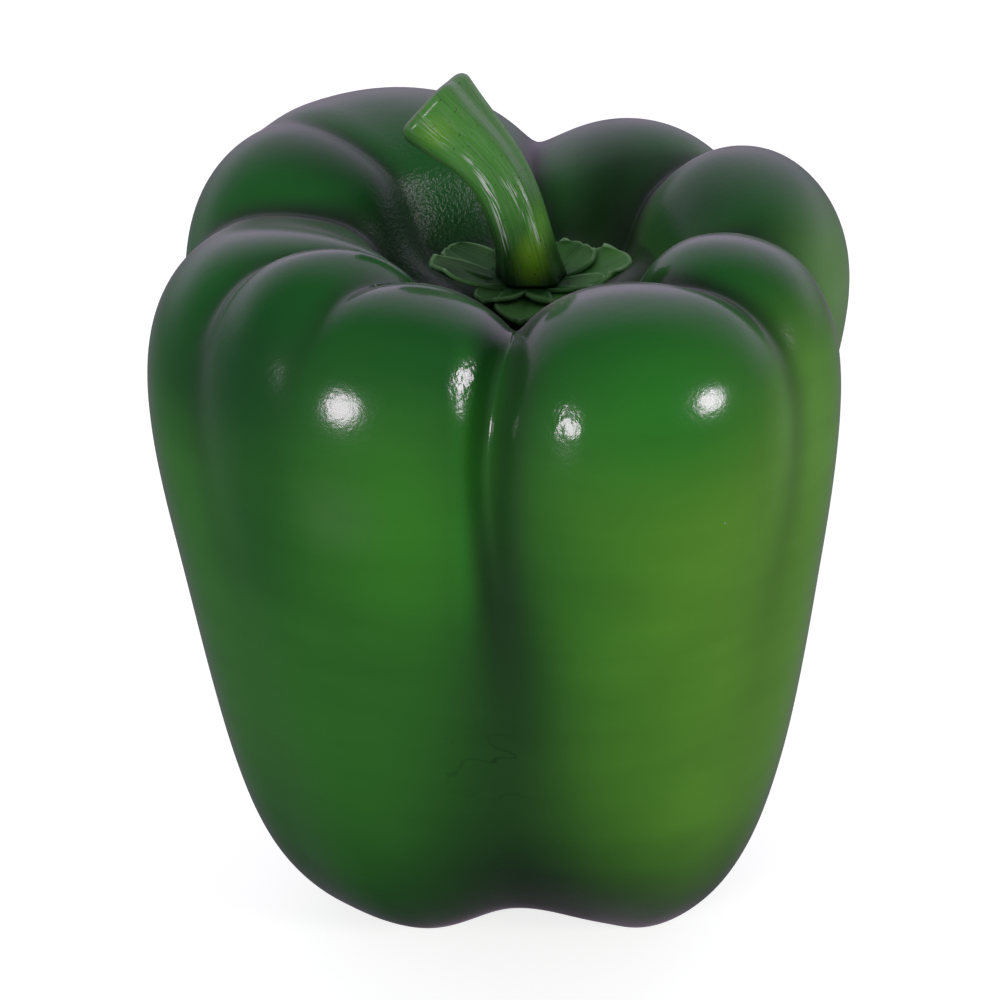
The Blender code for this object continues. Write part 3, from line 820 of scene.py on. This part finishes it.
def calyx_material():
    finish = Finish("leafy calyx")
    place = finish.place()
    x, y, _ = finish.split(place)
    u, v, _ = finish.split(finish.uv())
    veins = finish.noise(finish.uv(), VEINS)
    rim = finish.rise(abs(u * 2.0 - 1.0), *RIM_ACROSS) + finish.rise(v, *RIM_ALONG)
    colour = finish.mix(SEPAL_ROOT_GREEN, SEPAL_GREEN, finish.rise(v, 0.0, ROOT_GREEN_END))
    colour = finish.mix(colour, SEPAL_VEIN, finish.rise(veins, *VEIN_VALUES) * VEIN_STRENGTH)
    colour = finish.mix(colour, SEPAL_RIM, rim * v * RIM_STRENGTH)
    front = (1.0 - finish.rise(y, *FRONT_SEPAL_Y)) * FRONT_SEPAL_STRENGTH
    colour = finish.mix(colour, SEPAL_FRONT, front)
    left = (1.0 - finish.rise(x, *LEFT_SEPAL_X)) * LEFT_SEPAL_STRENGTH
    colour = finish.mix(colour, SEPAL_LEFT, left * (1.0 - rim))
    cup_shade = finish.spot(place, SEPAL_CUP_SHADE.centre, SEPAL_CUP_SHADE.radii)
    colour = finish.mix(colour, SEPAL_CUP_SHADE.colour, cup_shade * (1.0 - rim) * SEPAL_CUP_SHADE.strength)
    bump = finish.bump(veins + finish.relief(place, MOTTLE), SEPAL_RELIEF)
    finish.set(Base_Color=colour, Normal=bump, **SEPAL_GLOSS)
    return finish.material


def build_calyx():
    mesh = bmesh.new()
    mesh.loops.layers.uv.new("UVMap")
    add_disc(mesh)
    for sepal in SEPALS:
        blade = sepal_mesh(sepal)
        data = bpy.data.meshes.new("sepal")
        blade.to_mesh(data)
        blade.free()
        mesh.from_mesh(data)
        bpy.data.meshes.remove(data)
    bmesh.ops.recalc_face_normals(mesh, faces=mesh.faces)
    return finish_piece("leafy_calyx", mesh, calyx_material(), "calyx")


def stem_points(u, v):
    """Points of the stem's side: u from 0 to 1 round it, v from 0 at its foot to 1 inside the cut's rim."""
    line = np.array([(point.x, point.y, point.z) for point in STEM_LINE])
    lengths = np.concatenate([[0.0], np.cumsum(np.linalg.norm(np.diff(line, axis=0), axis=1))])
    knots = lengths / lengths[-1]
    along = np.minimum(v / CUT_RIM_START, 1.0) * (1.0 - CUT_RIM / lengths[-1])
    over = 0.5 * np.pi * np.clip((v - CUT_RIM_START) / (1.0 - CUT_RIM_START), 0.0, 1.0)
    middle = spline(knots, line, along)
    radius = spline(knots, [point.radius for point in STEM_LINE], along)
    radius -= CUT_RIM * (1.0 - np.cos(over))[:, None]
    forward = spline(knots, line, along + LINE_STEP) - spline(knots, line, along - LINE_STEP)
    forward[:, :2] *= ease(along, 0.0, STEM_UPRIGHT)[:, None]
    forward /= np.linalg.norm(forward, axis=1, keepdims=True)
    right = np.cross([0.0, 1.0, 0.0], forward)
    right /= np.linalg.norm(right, axis=1, keepdims=True)
    back = np.cross(forward, right)
    middle += CUT_RIM * np.sin(over)[:, None] * forward
    angle = 2.0 * np.pi * u
    ridge = np.cos(STEM_RIDGES * (angle - np.radians(STEM_RIDGE_AZIMUTH)))
    reach = radius * (1.0 + STEM_RIDGE_DEPTH * ridge)[:, None]
    points = middle + reach * (right * np.cos(angle)[:, None] + back * np.sin(angle)[:, None])
    return points + [AXIS_X + PIT_SHIFT, AXIS_Y, 0.0]


def stem_glints_and_streaks(finish):
    """Painted glints and pale fine streaks: dense bundles down the stem's front that are painted
    highlights, and a few faint pale fibre streaks all round.
    """
    u, v, _ = finish.split(finish.uv())
    share = FAINT_STREAKS
    for bundle in STREAKS:
        aside = abs(u - v * bundle.lean - bundle.u)
        start = finish.rise(v, bundle.low, bundle.low + STREAK_FADE)
        end = 1.0 - finish.rise(v, bundle.high - STREAK_FADE, bundle.high)
        share = share + start * end * (1.0 - finish.rise(aside, 0.0, bundle.width)) * bundle.strength
    return share * finish.rise(finish.noise(finish.uv(), STREAK_FIBRES), *STREAK_VALUES)


def stem_colour(finish, place, fibres, cloud):
    """Greens up the stem, darker below, with painted shade on its under side, yellow patches, dark fibres,
    specks, and a dark foot that is partly its own collar and partly painted shade.
    """
    x, _, z = finish.split(place)
    colour = finish.mix(STEM_LOW_GREEN, STEM_HIGH_GREEN, finish.rise(z, *STEM_HIGH_HEIGHTS))
    # Painted shade on the under side.
    under_shade = 1.0 - finish.rise(x * UNDER_X_SHARE + z * UNDER_HEIGHT_SHARE, *UNDER_VALUES)
    colour = finish.mix(colour, STEM_SHADE_AND_FIBRE_GREEN, under_shade)
    for patch in STEM_PATCHES.values():
        colour = finish.patched(colour, place, patch)
    colour = finish.mix(colour, STEM_SHADE_AND_FIBRE_GREEN, finish.rise(fibres, *FIBRE_VALUES) * FIBRE_STRENGTH)
    dots = finish.rise(finish.noise(place, STEM_SPECKS), *STEM_SPECK_VALUES)
    colour = finish.mix(colour, STEM_SPECK, dots * STEM_SPECK_STRENGTH)
    # A dark foot, partly the stem's own collar and partly painted shade.
    collar_and_shade = 1.0 - finish.rise(z + (cloud - 0.5) * COLLAR_WAVE, *COLLAR_HEIGHTS)
    foot = STEM_PATCHES["yellow foot"]
    yellow = finish.spot(place, foot.centre, foot.radii) * COLLAR_LEFT_YELLOW
    return finish.mix(colour, STEM_DARK_COLLAR_AND_SHADE, collar_and_shade * (1.0 - yellow))


def stem_material():
    finish = Finish("glossy stem")
    place = finish.place()
    fibres = finish.noise(finish.uv(), FIBRES)
    cloud = finish.noise(place, STEM_CLOUDS)
    cut_end = finish.mark("cut_end")
    colour = stem_colour(finish, place, fibres, cloud)
    # Painted glints down the stem's front, and faint pale fibre streaks.
    colour = finish.mix(colour, STEM_GLINT_AND_STREAK, stem_glints_and_streaks(finish))
    colour = finish.mix(colour, STEM_CUT, cut_end)
    relief = finish.bump(fibres + cloud * STEM_CLOUD_HEIGHT, STEM_RELIEF)
    rough = cut_end * CUT_ROUGHNESS_MORE + STEM_ROUGHNESS
    finish.set(Base_Color=colour, Normal=relief, Roughness=rough, **STEM_GLOSS)
    return finish.material


def build_stem():
    def marks(u, v):
        return {"cut_end": ease(v, CUT_COLOUR_START, 1.0)}

    mesh = sheet_mesh(STEM_SIDES, STEM_ROWS, stem_points, marks)
    rims = [edge for edge in mesh.edges if edge.is_boundary]
    ends = bmesh.ops.edgeloop_fill(mesh, edges=rims)["faces"]
    cut = max(ends, key=lambda face: face.calc_center_median().z)
    bmesh.ops.recalc_face_normals(mesh, faces=mesh.faces)
    bmesh.ops.inset_individual(mesh, faces=[cut], thickness=CUT_RIM)
    bmesh.ops.translate(mesh, verts=cut.verts, vec=-CUT_DISH * cut.normal)
    mark = mesh.verts.layers.float["cut_end"]
    for vertex in cut.verts:
        vertex[mark] = 1.0
    return finish_piece("curved_stem", mesh, stem_material(), "stem")


def toward(azimuth, elevation):
    """Unit vector towards an azimuth and elevation in degrees."""
    turn, tilt = math.radians(azimuth), math.radians(elevation)
    return Vector((math.cos(turn) * math.cos(tilt), math.sin(turn) * math.cos(tilt), math.sin(tilt)))


def aim(thing, target):
    thing.rotation_euler = (target - thing.location).to_track_quat("-Z", "Y").to_euler()


def add_camera():
    target = Vector(CAMERA_TARGET)
    data = bpy.data.cameras.new("photo camera")
    data.sensor_width = SENSOR
    data.lens = SENSOR * FOCAL_SHARE
    camera = bpy.data.objects.new("photo camera", data)
    camera.location = target + CAMERA_DISTANCE * toward(CAMERA_AZIMUTH, CAMERA_ELEVATION)
    aim(camera, target)
    bpy.context.scene.collection.objects.link(camera)
    bpy.context.scene.camera = camera


def add_softbox(name, box):
    data = bpy.data.lights.new(name, "AREA")
    data.shape = "ELLIPSE"
    data.size = box.width
    data.size_y = box.height
    data.energy = math.pi * box.brightness * box.width * box.height * math.pi / 4.0
    data.color = SOFTBOX_COLOUR
    light = bpy.data.objects.new(name, data)
    target = Vector(CAMERA_TARGET)
    light.location = target + box.distance * toward(box.azimuth, box.elevation)
    aim(light, target)
    bpy.context.scene.collection.objects.link(light)


def add_world():
    """A plain studio that is bright behind and above the pepper and dim in front of it and below."""
    world = bpy.data.worlds.new("studio")
    world.use_nodes = True
    bpy.context.scene.world = world
    nodes = Nodes(world.node_tree)
    _, y, z = nodes.split(nodes.add("ShaderNodeTexCoord", {}, {}, "Generated"))
    back = nodes.rise(y, *BEHIND) * nodes.rise(z, *ABOVE) * (BACK_BRIGHTNESS - FRONT_BRIGHTNESS)
    front = nodes.rise(z, *LEVEL) * FRONT_BRIGHTNESS
    background = world.node_tree.nodes["Background"]
    nodes.feed(background.inputs["Color"], STUDIO_COLOUR)
    nodes.feed(background.inputs["Strength"], back + front)


def add_floor():
    mesh = bmesh.new()
    bmesh.ops.create_circle(mesh, cap_ends=True, segments=FLOOR_SIDES, radius=FLOOR_RADIUS)
    bmesh.ops.translate(mesh, verts=mesh.verts, vec=(0.0, 0.0, -FLOOR_DROP))
    data = bpy.data.meshes.new("floor")
    mesh.to_mesh(data)
    mesh.free()
    finish = Finish("pale floor")
    finish.set(Base_Color=FLOOR_COLOUR, Roughness=0.9, Emission_Color=WHITE, Emission_Strength=FLOOR_GLOW)
    data.materials.append(finish.material)
    floor = bpy.data.objects.new("floor", data)
    bpy.context.scene.collection.objects.link(floor)
    floor.visible_glossy = False
    floor.visible_diffuse = False


build_skin()
build_calyx()
build_stem()
add_camera()
for name, box in SOFTBOXES.items():
    add_softbox(name, box)
add_world()
add_floor()
bpy.context.scene.view_settings.view_transform = "Standard"
